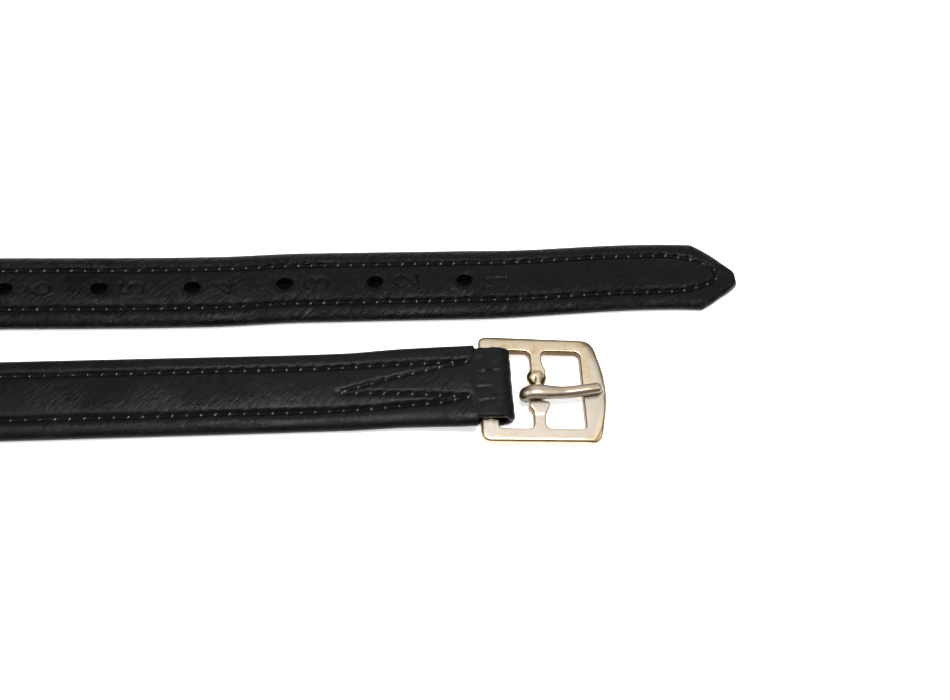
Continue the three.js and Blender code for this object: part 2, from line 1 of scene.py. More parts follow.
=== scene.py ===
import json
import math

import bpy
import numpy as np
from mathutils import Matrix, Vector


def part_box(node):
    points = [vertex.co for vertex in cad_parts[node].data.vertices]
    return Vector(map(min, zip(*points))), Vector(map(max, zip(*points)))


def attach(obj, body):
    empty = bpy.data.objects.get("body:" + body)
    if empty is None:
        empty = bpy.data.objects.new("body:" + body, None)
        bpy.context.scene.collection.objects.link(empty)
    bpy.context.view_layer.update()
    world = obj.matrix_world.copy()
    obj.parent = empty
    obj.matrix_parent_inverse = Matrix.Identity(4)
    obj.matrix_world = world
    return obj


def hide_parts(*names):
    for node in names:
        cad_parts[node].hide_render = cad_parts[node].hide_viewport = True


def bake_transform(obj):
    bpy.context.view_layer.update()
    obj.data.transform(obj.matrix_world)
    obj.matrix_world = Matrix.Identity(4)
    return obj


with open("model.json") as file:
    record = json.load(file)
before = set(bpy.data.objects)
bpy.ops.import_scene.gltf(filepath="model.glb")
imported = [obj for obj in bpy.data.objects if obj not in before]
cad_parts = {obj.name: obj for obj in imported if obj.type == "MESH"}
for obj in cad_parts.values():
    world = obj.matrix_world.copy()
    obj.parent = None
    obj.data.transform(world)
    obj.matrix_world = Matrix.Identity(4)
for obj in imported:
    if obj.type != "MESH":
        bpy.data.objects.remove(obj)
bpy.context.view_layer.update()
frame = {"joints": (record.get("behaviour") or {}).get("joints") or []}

# The looks of a lined black stirrup leather: a long padded strap, doubled back on itself, with a
# pointed and punched end and a cast brass buckle sewn into the other end. Metres, +Z up. The strap
# lies on Z = 0, with both ends towards +X.
#
# Each half of the strap, from the top of the far bend to its own end, is one sweep. A place on it
# is (u, t, h): u along the leather from the top of the bend, t across it (+Y where it lies flat)
# and h out of its grain side, from the middle of its thickness.

MM = 0.001

# ---- places and sizes from the frame ------------------------------------------------------

joints = {joint["name"]: Vector(joint["pos_m"]) for joint in frame["joints"]}
END_BAR = joints["buckle_swing"]
RUN_Y = {1: joints["point_flex"].y, -1: joints["buckle_end_flex"].y}
POINT_LOW, POINT_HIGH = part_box("point_cover")
LOOP_LOW, LOOP_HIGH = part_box("turned_back_end")

TIP_X = POINT_HIGH.x
SHOULDER_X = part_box("buckle_end_cover")[1].x
HALF_WIDTH = (POINT_HIGH.y - POINT_LOW.y) / 2
THICKNESS = POINT_HIGH.z - POINT_LOW.z
HALF_THICKNESS = THICKNESS / 2
BEND_RADIUS = (RUN_Y[1] - RUN_Y[-1]) / 2
RUNS_MIDDLE_Y = (RUN_Y[1] + RUN_Y[-1]) / 2
BEND_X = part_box("middle_cover")[0].x + BEND_RADIUS + HALF_THICKNESS
QUARTER = BEND_RADIUS * math.pi / 2
TWIST_LENGTH = 100 * MM
TWIST_END = BEND_X + TWIST_LENGTH
FINE_FROM = END_BAR.x - 112 * MM   # the eye comes near from here on

SKIN = 1.2 * MM
EDGE_WALL = 1.3 * MM
LIP = 7.8 * MM
GAP = 0.3 * MM
EDGE_REACH = 4.6 * MM          # how far the rolled edge reaches in from the side
TURNED_BACK_X = LOOP_LOW.x
TURNED_BACK_TIP = 0.25 * MM
LOOP_THICKNESS = 2.1 * MM
LOOP_HALF_WIDTH = (LOOP_HIGH.y - LOOP_LOW.y) / 2
LOOP_SHIFT = (LOOP_HIGH.y + LOOP_LOW.y) / 2 - RUN_Y[-1]
LOOP_TOP_Z = LOOP_HIGH.z
LOOP_TURN_X = END_BAR.x + 3.4 * MM
LOOP_RISEN_X = END_BAR.x - 0.9 * MM
RISE_LENGTH = 14 * MM
TIP_LENGTH = 14.3 * MM
NOSE_HALF_WIDTH = 2.2 * MM
NOSE_ROUND = 1.6 * MM
TIP_CURVE_HALF_WIDTH = 9.9 * MM    # the control point of the tip's side
POINT_NARROWER = 0.35 * MM
EXTRA_WIDTH = 0.3 * MM         # the strap is this much wider than in CAD on each side
SHOULDER_EXTRA = 0.65 * MM     # and this much more beside the buckle

HOLE_COUNT = 15
HOLE_PITCH = 31.75 * MM
FIRST_HOLE = 100 * MM
HOLE_RADIUS = 2.6 * MM
CORE_HOLE = 2.5 * MM
LINING_HOLE = 0.6 * MM
HOLE_X = [TIP_X - FIRST_HOLE - i * HOLE_PITCH for i in range(HOLE_COUNT)]
HOLE_STRETCH = Matrix.Diagonal((1.12, 0.94, 1, 1))   # pulled a little long in use
NUMBER_AHEAD = 11.2 * MM       # each number stands this far from its hole, towards the tip

ROW_T = 7.9 * MM               # the long stitch rows, from the middle of the strap
STITCH_PITCH = 4.62 * MM
THREAD_RADIUS = 0.40 * MM
STITCH_SLANT = 0.30 * MM
STITCH_DEPTH = 0.62 * MM        # how deep the ends of a stitch go
STITCH_RISE = 0.34 * MM
STITCH_BRIDGE = 0.62 * MM       # leather left standing at each end of a stitch
ARCH_X = TIP_X - 28 * MM
ARCH_LENGTH = 21.4 * MM
V_TURN_X = END_BAR.x - 7.5 * MM
V_APEX_X = END_BAR.x - 51 * MM
V_APEX_T = -1.6 * MM
V_LOWER_TURN_T = -5.4 * MM
V_JOIN_X = END_BAR.x - 17 * MM

random_numbers = np.random.default_rng(12)


def u_at(x):
    return QUARTER + x - BEND_X


def x_at(u):
    return BEND_X + u - QUARTER


def smoothstep(value, start, end):
    t = np.clip((value - start) / (end - start), 0, 1)
    return t * t * (3 - 2 * t)


def bump_shape(value, middle, reach):
    return np.exp(-(((value - middle) / reach) ** 2))


# ---- the strap's route --------------------------------------------------------------------


def lift_at(x):
    """How far the buckle end is lifted by the turned-back end beneath it and by the end bar."""
    along = np.clip((x - TURNED_BACK_X) / (SHOULDER_X - TURNED_BACK_X), 0, 1)
    thickness = TURNED_BACK_TIP + (LOOP_THICKNESS - TURNED_BACK_TIP) * along
    lift = (thickness + 0.5 * GAP) * smoothstep(x, TURNED_BACK_X - 24 * MM, TURNED_BACK_X + 4 * MM)
    to_bar = LOOP_TOP_Z - THICKNESS - LOOP_THICKNESS - GAP
    return lift + to_bar * smoothstep(x, END_BAR.x - 26 * MM, END_BAR.x - 1 * MM)


def sway_at(x, side):
    """The gentle curves that each run lies in."""
    d = (x - END_BAR.x) / MM
    if side < 0:
        return MM * (0.75 * bump_shape(d, -27, 15) - 0.3 * smoothstep(d, -20, -6)
                     - 0.4 * smoothstep(d, -70, -15))
    out = 2.0 * smoothstep(d, 2, 60) - 1.3 * smoothstep(d, 66, 98) - 1.3 * smoothstep(d, 86, 94.5)
    back = -1.0 * smoothstep(-d, 62, 96) + 1.0 * smoothstep(-d, 105, 190)
    return (out + back) * MM


def frames(u, side):
    """Origin, tangent-side (t) and grain-side (h) directions at each u, as (n, 3) arrays."""
    u = np.asarray(u, float)
    turn = np.clip(u, 0, QUARTER) / BEND_RADIUS
    past = np.maximum(u - QUARTER, 0)
    roll = math.pi / 2 * (1 - np.clip(past / TWIST_LENGTH, 0, 1))
    in_bend = (u < QUARTER)[:, None]
    x = BEND_X + past
    zero = np.zeros_like(u)
    z = HALF_WIDTH * np.sin(roll) + HALF_THICKNESS * np.cos(roll)
    y = RUN_Y[side] + sway_at(x, side)
    if side < 0:
        z = z + lift_at(x)
    up_bend = np.stack([-np.cos(turn), side * np.sin(turn), zero], 1)
    across_bend = np.stack([zero, zero, zero - side], 1)
    centre = np.array([BEND_X, RUNS_MIDDLE_Y, HALF_WIDTH])
    origin = np.where(in_bend, centre + BEND_RADIUS * up_bend, np.stack([x, y, z], 1))
    across = np.stack([zero, np.cos(roll), -side * np.sin(roll)], 1)
    up = np.stack([zero, side * np.sin(roll), np.cos(roll)], 1)
    return origin, np.where(in_bend, across_bend, across), np.where(in_bend, up_bend, up)


def loop_frames():
    """Stations round the end bar and back under the strap: origin, grain-side direction, half
    thickness, and how far along the strap each one counts as, in one dict of arrays."""
    outer = LOOP_TOP_Z - END_BAR.z
    middle_radius = outer - LOOP_THICKNESS / 2
    steps = []
    start_z = THICKNESS + float(lift_at(SHOULDER_X)) - LOOP_THICKNESS / 2
    top_z = LOOP_TOP_Z - LOOP_THICKNESS / 2
    count = 14
    for i in range(1, count + 1):
        t = i / count
        x = SHOULDER_X + (LOOP_RISEN_X - SHOULDER_X) * t
        steps.append((x, start_z + (top_z - start_z) * t * t * (3 - 2 * t), LOOP_THICKNESS / 2))
    for i in range(1, 5):
        x = LOOP_RISEN_X + (LOOP_TURN_X - LOOP_RISEN_X) * i / 5
        steps.append((x, top_z, LOOP_THICKNESS / 2))
    arc = 26
    for i in range(arc + 1):
        angle = math.pi / 2 - math.pi * i / arc
        x = LOOP_TURN_X + middle_radius * math.cos(angle)
        steps.append((x, END_BAR.z + middle_radius * math.sin(angle), LOOP_THICKNESS / 2))
    run = 40
    for i in range(1, run + 1):
        t = i / run
        half = (LOOP_THICKNESS + (TURNED_BACK_TIP - LOOP_THICKNESS) * smoothstep(t, 0.1, 1)) / 2
        steps.append((LOOP_TURN_X + (TURNED_BACK_X - LOOP_TURN_X) * t, float(half), float(half)))
    x, z, half = np.array(steps).T
    dx, dz = np.gradient(x), np.gradient(z)
    length = np.hypot(dx, dz)
    up = np.stack([-dz / length, np.zeros_like(x), dx / length], 1)
    origin = np.stack([x, np.full_like(x, RUN_Y[-1]), z], 1)
    return {"origin": origin, "up": up, "half": half, "x": x}


# ---- stitch lines -------------------------------------------------------------------------

arch = [
    (u_at(ARCH_X + ARCH_LENGTH * math.cos(a)), ROW_T * math.sin(a) ** 1.2)
    for a in np.radians(np.linspace(90, 0, 13))
]
POINT_LINE = [(0, ROW_T), *arch, *[(u, -t) for u, t in reversed(arch[:-1])], (0, -ROW_T)]
BUCKLE_UPPER_LINE = [(0, ROW_T), (u_at(V_TURN_X), ROW_T)]
BUCKLE_V_LINE = [
    (u_at(V_TURN_X), ROW_T),
    (u_at(V_APEX_X), V_APEX_T),
    (u_at(V_TURN_X), V_LOWER_TURN_T),
]
BUCKLE_LOWER_LINE = [(u_at(V_TURN_X), V_LOWER_TURN_T), (u_at(V_JOIN_X), -7.2 * MM),
                     (u_at(V_JOIN_X - 22 * MM), -ROW_T - 0.2 * MM), (0, -ROW_T)]


def distance_to(line, u, t):
    """Distance from each (u, t) to a line of straight stretches."""
    nearest = np.full(np.broadcast(u, t).shape, 1.0)
    for (u0, t0), (u1, t1) in zip(line, line[1:]):
        du, dt = u1 - u0, t1 - t0
        along = np.clip(((u - u0) * du + (t - t0) * dt) / (du * du + dt * dt), 0, 1)
        nearest = np.minimum(nearest, np.hypot(u - u0 - along * du, t - t0 - along * dt))
    return nearest


def stitch_holes(line, pitch=STITCH_PITCH):
    """Evenly spaced places along a line, as (u, t) rows."""
    points = np.array(line)
    lengths = np.hypot(*np.diff(points, axis=0).T)
    reach = np.concatenate([[0], np.cumsum(lengths)])
    count = max(1, round(reach[-1] / pitch))
    places = np.linspace(0, reach[-1], count + 1)
    return np.stack([np.interp(places, reach, column) for column in points.T], 1)


SEAM_LINES = {
    1: [POINT_LINE],
    -1: [BUCKLE_UPPER_LINE, BUCKLE_V_LINE, BUCKLE_LOWER_LINE],
}


def slanted_stitches(line):
    """Both ends of each stitch, set a little to either side of the line."""
    holes = stitch_holes(line)
    start, end = holes[:-1], holes[1:]
    along = (end - start) / np.hypot(*(end - start).T)[:, None]
    aside = np.stack([-along[:, 1], along[:, 0]], 1) * STITCH_SLANT
    return start - aside, end + aside, along


def stitch_pits(line, u, t):
    """1 in the bed of a stitch, 0 away from every stitch."""
    deep = np.zeros(np.broadcast(u, t).shape)
    for start, end, along in zip(*slanted_stitches(line)):
        low, high = min(start[0], end[0]) - 2 * MM, max(start[0], end[0]) + 2 * MM
        near = (u[:, 0] > low) & (u[:, 0] < high)
        if near.any():
            ends = [start + STITCH_BRIDGE * along, end - STITCH_BRIDGE * along]
            away = distance_to(ends, u[near], t[near])
            deep[near] = np.maximum(deep[near], bump_shape(away, 0, 0.72 * MM))
    return deep


# ---- pressed numbers ----------------------------------------------------------------------


def arc_points(cx, cy, rx, ry, start, end, count=14):
    angles = np.radians(np.linspace(start, end, count))
    return [(cx + rx * math.cos(a), cy + ry * math.sin(a)) for a in angles]


DIGITS = {
    "0": [arc_points(0.5, 0.5, 0.38, 0.5, 0, 360, 20)],
    "1": [[(0.3, 0.78), (0.55, 1), (0.55, 0)]],
    "2": [[*arc_points(0.5, 0.7, 0.38, 0.3, 165, -35), (0.1, 0), (0.92, 0)]],
    "3": [arc_points(0.46, 0.74, 0.34, 0.26, 150, -85),
          arc_points(0.46, 0.25, 0.4, 0.26, 85, -150)],
    "4": [[(0.7, 0), (0.7, 1), (0.1, 0.3), (0.95, 0.3)]],
    "5": [[(0.84, 1), (0.24, 1), *arc_points(0.47, 0.33, 0.38, 0.33, 135, -140)]],
    "6": [[(0.72, 1), (0.3, 0.7), *arc_points(0.5, 0.3, 0.37, 0.3, 170, 530, 20)]],
    "7": [[(0.08, 1), (0.92, 1), (0.4, 0)]],
    "8": [arc_points(0.5, 0.75, 0.3, 0.25, 0, 360), arc_points(0.5, 0.26, 0.38, 0.26, 0, 360)],
    "9": [[(0.28, 0), (0.7, 0.3), *arc_points(0.5, 0.7, 0.37, 0.3, -10, 350, 20)]],
}
DIGIT_HEIGHT = 7.8 * MM
DIGIT_WIDTH = 6.2 * MM


def number_strokes(number):
    """The strokes of a pressed number, as (u, t) lines. Its top points away from the tip."""
    middle_u = u_at(HOLE_X[number - 1] + NUMBER_AHEAD)
    text = str(number)
    width = DIGIT_WIDTH if len(text) == 1 else 0.72 * DIGIT_WIDTH
    left = -width * (len(text) + 0.2 * (len(text) - 1)) / 2
    strokes = []
    for place, digit in enumerate(text):
        for stroke in DIGITS[digit]:
            strokes.append([
                (middle_u + (0.5 - gy) * DIGIT_HEIGHT, left + width * (1.2 * place + gx))
                for gx, gy in stroke
            ])
    return strokes


# ---- the grain surface --------------------------------------------------------------------


def waves(u, t, count, shortest, longest, seed):
    """Soft uneven relief between about -1 and 1, from waves of mixed length and direction."""
    numbers = np.random.default_rng(seed)
    total = np.zeros(np.broadcast(u, t).shape)
    for _ in range(count):
        length = shortest * (longest / shortest) ** numbers.random()
        angle = numbers.uniform(0, math.pi)
        phase = numbers.uniform(0, 2 * math.pi)
        total += np.sin(2 * math.pi * (u * math.cos(angle) + t * math.sin(angle)) / length + phase)
    return total / math.sqrt(count)


SWELL = 0.09 * MM
RIPPLE = 0.02 * MM
CROWN = 0.56 * MM              # how much the padding lifts the middle
CROWN_HALF_WIDTH = 7.2 * MM
PIT_DEPTH = 0.58 * MM
ROW_VALLEY = (0.5, 1.25)       # depth and reach of the hollow along a seam, in millimetres
V_VALLEY = (0.3, 0.9)
NUMBER_DEPTH = 0.42 * MM
NUMBER_STROKE = 0.55 * MM


def grain_height(u, t, side):
    """Height of the grain side over its flat place, in metres, at each (u, t)."""
    x = x_at(u)
    height = SWELL * waves(u, t, 7, 14 * MM, 60 * MM, 5 + side)
    height = height + RIPPLE * waves(u, t, 14, 2.2 * MM, 6 * MM, 8 + side)
    height = height + CROWN * np.clip(1 - (t / CROWN_HALF_WIDTH) ** 2, 0, 1) ** 0.8
    valley = np.zeros_like(height)
    pits = np.zeros_like(height)
    for line in SEAM_LINES[side]:
        depth, reach = V_VALLEY if line is BUCKLE_V_LINE else ROW_VALLEY
        away = distance_to(line, u, t)
        valley = np.maximum(valley, depth * bump_shape(away, 0, reach * MM))
        pits = np.maximum(pits, stitch_pits(line, u, t))
    height = height - MM * valley - PIT_DEPTH * pits
    if side < 0:
        return height * (1 - smoothstep(x, END_BAR.x - 6.6 * MM, SHOULDER_X))
    for number, hole_x in enumerate(HOLE_X, 1):
        hole_u = u_at(hole_x)
        near = np.abs(u[:, 0] - hole_u) < 7 * MM
        r = np.hypot((u[near] - hole_u) / 1.1, t[near])
        height[near] += 0.16 * MM * bump_shape(r, 4.1 * MM, 0.9 * MM)
        height[near] -= 0.50 * MM * bump_shape(r, 1.6 * MM, 1.3 * MM)
        near = np.abs(u[:, 0] - hole_u - NUMBER_AHEAD) < 6 * MM
        strokes = number_strokes(number)
        away = np.min([distance_to(stroke, u[near], t[near]) for stroke in strokes], axis=0)
        height[near] -= NUMBER_DEPTH * bump_shape(away, 0, NUMBER_STROKE)
        height[near] += 0.12 * MM * bump_shape(away, 1.1 * MM, 0.45 * MM)
    return height


# ---- meshes -------------------------------------------------------------------------------


SHARP_ANGLE = 38


def new_object(name, vertices, faces, material=None, smooth_angle=SHARP_ANGLE):
    mesh = bpy.data.meshes.new(name)
    mesh.from_pydata([tuple(v) for v in vertices], [], faces)
    mesh.validate()
    mesh.update()
    obj = bpy.data.objects.new(name, mesh)
    bpy.context.scene.collection.objects.link(obj)
    if material:
        mesh.materials.append(material)
    finish_shading(obj, smooth_angle)
    return obj


def finish_shading(obj, smooth_angle=SHARP_ANGLE):
    mesh = obj.data
    mesh.polygons.foreach_set("use_smooth", [True] * len(mesh.polygons))
    mesh.set_sharp_from_angle(angle=math.radians(smooth_angle))
    mesh.update()


def tube_faces(rings, around):
    """Quads of a closed tube of rings, with a flat cap at each end."""
    k = np.arange(rings - 1)[:, None] * around
    j = np.arange(around)[None, :]
    following = (j + 1) % around
    quads = np.stack([k + j, k + following, k + around + following, k + around + j], -1)
    faces = quads.reshape(-1, 4).tolist()
    faces.append(list(range(around))[::-1])
    faces.append([(rings - 1) * around + i for i in range(around)])
    return faces


def tube(name, points, material, smooth_angle=SHARP_ANGLE):
    """A closed solid on rings of points."""
    rings, around = points.shape[:2]
    faces = tube_faces(rings, around)
    return new_object(name, points.reshape(-1, 3), faces, material, smooth_angle)


def swept(route, t, h):
    """A ring of points at each station of a route, from its origins and two directions."""
    origin, across, up = route
    return origin[:, None] + t[..., None] * across[:, None] + h[..., None] * up[:, None]


def apply_modifiers(obj):
    depsgraph = bpy.context.evaluated_depsgraph_get()
    mesh = bpy.data.meshes.new_from_object(obj.evaluated_get(depsgraph))
    old = obj.data
    obj.modifiers.clear()
    obj.data = mesh
    bpy.data.meshes.remove(old)
    mesh.name = obj.name


def combine(obj, others, operation):
    """Cuts or joins closed solids with obj, and removes them."""
    for other in others:
        modifier = obj.modifiers.new("combine", "BOOLEAN")
        modifier.operation = operation
        modifier.object = other
        modifier.solver = "MANIFOLD"
    apply_modifiers(obj)
    for other in others:
        bpy.data.objects.remove(other)


# ---- the padded strap ---------------------------------------------------------------------

EDGE_STEPS = 10
UNDER_EDGE_STEPS = 5
HALF_BOTTOM = [11, 9.2, 8.4, 7.9, 7.4, 6.6, 3]
BOTTOM_T = np.array([*HALF_BOTTOM, 0, *[-t for t in reversed(HALF_BOTTOM)]]) / 11


def top_places():
    """Places across the grain side, from -1 to 1, closest where the stitches are."""
    inner = np.arange(0, 6.3, 0.48)
    outer = np.linspace(6.4, 9.4, 11)
    half = np.concatenate([inner, outer]) / 9.4
    return np.concatenate([-half[:0:-1], half])


TOP_PLACES = top_places()


def strap_section(half_width, half_thick, edge_reach, relief_at):
    """One closed ring of (t, h) for each station: the grain side with its rolled edges from -t to
    +t, then the lining side back again. relief_at gives the grain side's height at each t."""
    flat = (half_width - edge_reach)[:, None]
    thick = half_thick[:, None]
    reach = edge_reach[:, None]
    angles = np.linspace(math.pi / 2, 0, EDGE_STEPS + 1)[1:]
    edge_t = flat + reach * np.cos(angles)
    edge_h = np.broadcast_to(np.sin(angles), edge_t.shape)
    upper_t = np.concatenate([-edge_t[:, ::-1], flat * TOP_PLACES, edge_t], 1)
    fullness = np.concatenate([edge_h[:, ::-1], np.ones_like(flat * TOP_PLACES), edge_h], 1)
    upper_h = thick * fullness + relief_at(upper_t) * fullness**2
    under = np.linspace(0, math.pi / 2, UNDER_EDGE_STEPS + 1)[1:-1]
    under_t = flat + reach * np.cos(under) ** 0.4
    under_h = -thick * np.sin(under) ** 0.8
    bottom_t = flat * BOTTOM_T
    bottom_h = -thick + 0.3 * MM * bump_shape(np.abs(bottom_t), ROW_T, 0.6 * MM)
    t = np.concatenate([upper_t, under_t, bottom_t, -under_t[:, ::-1]], 1)
    h = np.concatenate([upper_h, under_h, bottom_h, under_h[:, ::-1]], 1)
    return t, h


def stations_for(side):
    """Places along a half: close together where the eye comes near, wide apart elsewhere."""
    fine = 0.44 * MM
    end = TIP_X if side > 0 else SHOULDER_X
    places = [np.linspace(0, QUARTER, 16), u_at(np.arange(BEND_X + 2 * MM, TWIST_END, 2 * MM))]
    places.append(u_at(np.arange(TWIST_END, FINE_FROM, 4 * MM)))
    if side > 0:
        places.append(u_at(np.arange(FINE_FROM, end - NOSE_ROUND, fine)))
        places.append(u_at(end - NOSE_ROUND * (1 - np.sin(np.radians(np.linspace(0, 88, 8))))))
        for x in (hole_x + NUMBER_AHEAD for hole_x in HOLE_X):
            if x < FINE_FROM:
                places.append(u_at(np.arange(x - 4.8 * MM, x + 4.8 * MM, 0.7 * MM)))
    else:
        places.append(u_at(np.arange(FINE_FROM, end - fine, fine)))
        places.append([u_at(end)])
    places = np.sort(np.concatenate(places))
    return places[np.concatenate([[True], np.diff(places) > 0.2 * fine])]


def half_width_at(x, side):
    width = HALF_WIDTH + EXTRA_WIDTH * smoothstep(x, TWIST_END, TWIST_END + 40 * MM)
    if side < 0:
        return width + SHOULDER_EXTRA * smoothstep(x, END_BAR.x - 60 * MM, SHOULDER_X)
    width = width - POINT_NARROWER * smoothstep(x, END_BAR.x - 5 * MM, END_BAR.x + 25 * MM)
    along = np.clip((x - (TIP_X - TIP_LENGTH)) / TIP_LENGTH, 0, 1)
    full = HALF_WIDTH - 0.05 * MM
    side_line = (1 - along) ** 2 * full + 2 * along * (1 - along) * TIP_CURVE_HALF_WIDTH
    side_line = side_line + along**2 * NOSE_HALF_WIDTH
    return np.where(along > 0, side_line, width)


def cover_half(side, name, material):
    u = stations_for(side)
    x = x_at(u)
    half_width = half_width_at(x, side)
    edge_reach = np.minimum(EDGE_REACH, 0.45 * half_width)
    half_thick = np.full_like(u, HALF_THICKNESS)
    if side > 0:
        nose = np.clip((x - (TIP_X - NOSE_ROUND)) / NOSE_ROUND, 0, 1)
        half_thick = half_thick * np.sqrt(np.clip(1 - nose**2, 0.02, 1))

    def relief_at(t):
        fade = half_thick[:, None] / HALF_THICKNESS * np.clip(half_width / (4 * MM), 0, 1)[:, None]
        return grain_height(u[:, None], t, side) * fade

    t, h = strap_section(half_width, half_thick, edge_reach, relief_at)
    points = swept(frames(u, side), t, h)
    if side < 0:
        points = np.concatenate([points, loop_points()])
    return tube(name, points, material)


LOOP_CREASE_DEPTH = 0.30 * MM
LOOP_CREASES = ((3.6, 0.6, 0.06), (-2.2, -1.2, -0.03), (-7.0, 1.2, 0.08))   # across, along, slant


def loop_points():
    """Rings round the end bar and back underneath, trimmed narrower and square at the edges."""
    loop = loop_frames()
    count = len(loop["x"])
    wobble = 0.12 * MM * waves(np.arange(count) * MM, np.zeros(count), 5, 3 * MM, 11 * MM, 31)
    step = np.arange(count)[:, None] * 0.4 * MM
    on_top = (loop["origin"][:, 2] > END_BAR.z)[:, None]

    def relief_at(t):
        height = 0.05 * MM * waves(step, t, 9, 2.5 * MM, 9 * MM, 41)
        for middle_t, place, slant in LOOP_CREASES:
            along = (loop["x"] - END_BAR.x)[:, None] - place * MM
            away = t - middle_t * MM - slant * along
            crease = bump_shape(away, 0, 0.34 * MM) - 0.7 * bump_shape(away, 0.8 * MM, 0.45 * MM)
            height = height - LOOP_CREASE_DEPTH * crease * bump_shape(along, -1 * MM, 3.6 * MM) * on_top
        return height

    beneath = smoothstep(-loop["x"], -END_BAR.x + 1 * MM, -END_BAR.x + 9 * MM) * ~on_top[:, 0]
    half_width = LOOP_HALF_WIDTH + (0.5 - 1.9 * beneath) * MM + wobble
    t, h = strap_section(half_width, loop["half"], np.full(count, 0.9 * MM), relief_at)
    across = np.tile([0, 1.0, 0], (count, 1))
    return swept((loop["origin"] + LOOP_SHIFT * across, across, loop["up"]), t, h)


def inner_stations(side, inset):
    end = TIP_X - inset if side > 0 else SHOULDER_X - inset
    places = [np.linspace(0, QUARTER, 12), u_at(np.arange(BEND_X + 4 * MM, FINE_FROM, 4 * MM))]
    places.append(u_at(np.arange(FINE_FROM, end - 1 * MM, 2 * MM)))
    places.append([u_at(end)])
    return np.concatenate(places)


LAYER_COLUMNS = 8
LAYER_SHARP_ANGLE = 30


def layer(name, side, inset, low, high, material):
    """A flat layer this far inside the strap's outline, between two heights."""
    u = inner_stations(side, inset)
    half_width = np.maximum(half_width_at(x_at(u), side) - inset, 0.8 * MM)
    places = np.linspace(-1, 1, LAYER_COLUMNS + 1)
    ring_t = half_width[:, None] * np.concatenate([places, places[::-1]])
    ring_h = np.repeat([high, low], LAYER_COLUMNS + 1)[None]
    return tube(name, swept(frames(u, side), ring_t, ring_h), material, LAYER_SHARP_ANGLE)


def hole_cutters(radius):
    cutters = []
    for x in HOLE_X:
        y = RUN_Y[1] + float(sway_at(np.array([x]), 1)[0])
        bpy.ops.mesh.primitive_cylinder_add(vertices=40, radius=radius, depth=4 * THICKNESS)
        cutter = bpy.context.object
        cutter.data.transform(Matrix.Translation((x, y, HALF_THICKNESS)) @ HOLE_STRETCH)
        cutters.append(cutter)
    return cutters


def build_half(side, names, materials):
    """Cover, core and lining of one half of the strap."""
    cover_name, core_name, lining_name = names
    low, high = -HALF_THICKNESS + SKIN, HALF_THICKNESS - SKIN
    cover = cover_half(side, cover_name, materials["cover"])
    cavity = layer("cavity", side, EDGE_WALL, low, high, materials["inside"])
    mouth = layer("mouth", side, LIP, low - 2 * SKIN, low + 0.1 * MM, materials["inside"])
    combine(cover, [cavity, mouth], "DIFFERENCE")
    core = layer(core_name, side, EDGE_WALL + GAP, low + GAP, high - GAP, materials["core"])
    lining = layer(lining_name, side, LIP + GAP, -HALF_THICKNESS, low, materials["lining"])
    if side > 0:
        # the core's and lining's holes are cut smaller than the cover's, so the near-black lining
        # closes the bottom of each punched hole as painted shade
        for piece, radius in ((cover, HOLE_RADIUS), (core, CORE_HOLE), (lining, LINING_HOLE)):
            combine(piece, hole_cutters(radius), "DIFFERENCE")
    for piece in (cover, core, lining):
        finish_shading(piece)
    return cover, core, lining


# ---- stitches -----------------------------------------------------------------------------


def place(side, u, t, h):
    origin, across, up = frames(np.atleast_1d(u), side)
    return origin + np.atleast_1d(t)[:, None] * across + np.atleast_1d(h)[:, None] * up


def stitching(side, name, materials):
    """Every visible stitch of a half: thread that dives into a hole at both ends, and the small
    crossing of the two threads at each hole."""
    sides = 8
    turns = np.linspace(0, 2 * math.pi, sides, endpoint=False)
    run = np.linspace(0, 1, 8)
    vertices, faces, which = [], [], []

    def add(points, slot):
        start = sum(len(v) for v in vertices)
        rings, around = points.shape[:2]
        vertices.append(points.reshape(-1, 3))
        new = tube_faces(rings, around)
        faces.extend([[start + i for i in face] for face in new])
        which.extend([slot] * len(new))

    for line in SEAM_LINES[side]:
        holes = stitch_holes(line)
        surface = grain_height(holes[:, :1], holes[:, 1:], side)[:, 0]
        dive = np.sin(math.pi * run) ** 0.6
        for i, (start, end, along) in enumerate(zip(*slanted_stitches(line))):
            middle = start + (end - start) * run[:, None]
            aside = np.array([-along[1], along[0]])
            level = surface[i] + (surface[i + 1] - surface[i]) * run
            for face, size in ((1, 1.0), (-1, 0.6)):
                thick = THREAD_RADIUS * size * (0.55 + 0.45 * dive)
                if face > 0:
                    h = HALF_THICKNESS + level - STITCH_DEPTH + STITCH_RISE * dive
                else:
                    h = -HALF_THICKNESS + 0.42 * MM - 0.26 * MM * dive
                sideways = middle[:, None] + (thick[:, None] * np.cos(turns))[..., None] * aside
                ring_h = h[:, None] + face * 0.8 * thick[:, None] * np.sin(turns)
                ring_u, ring_t = np.moveaxis(sideways, -1, 0)
                points = place(side, ring_u.ravel(), ring_t.ravel(), ring_h.ravel())
                add(points.reshape(len(run), sides, 3), 0)
        latitudes = np.linspace(-math.pi / 2, math.pi / 2, 6)
        for i, (u0, t0) in enumerate(holes):
            size = random_numbers.uniform(0.7, 1.2)
            lean = random_numbers.uniform(0.1, 0.9)
            ring_u = 0.22 * MM * size * np.cos(latitudes)[:, None] * np.cos(turns)
            ring_h = 0.26 * MM * size * np.cos(latitudes)[:, None] * np.sin(turns)
            reach = 0.40 * MM * size * np.sin(latitudes)[:, None] + 0 * turns
            points = place(side, (u0 + ring_u + lean * reach).ravel(), (t0 + reach).ravel(),
                           (HALF_THICKNESS + surface[i] + 0.06 * MM + ring_h).ravel())
            add(points.reshape(len(latitudes), sides, 3), 1)
    obj = new_object(name, np.concatenate(vertices), faces, materials["thread"], 60)
    obj.data.materials.append(materials["thread_crossing"])
    obj.data.polygons.foreach_set("material_index", which)
    return obj


# ---- the buckle ---------------------------------------------------------------------------

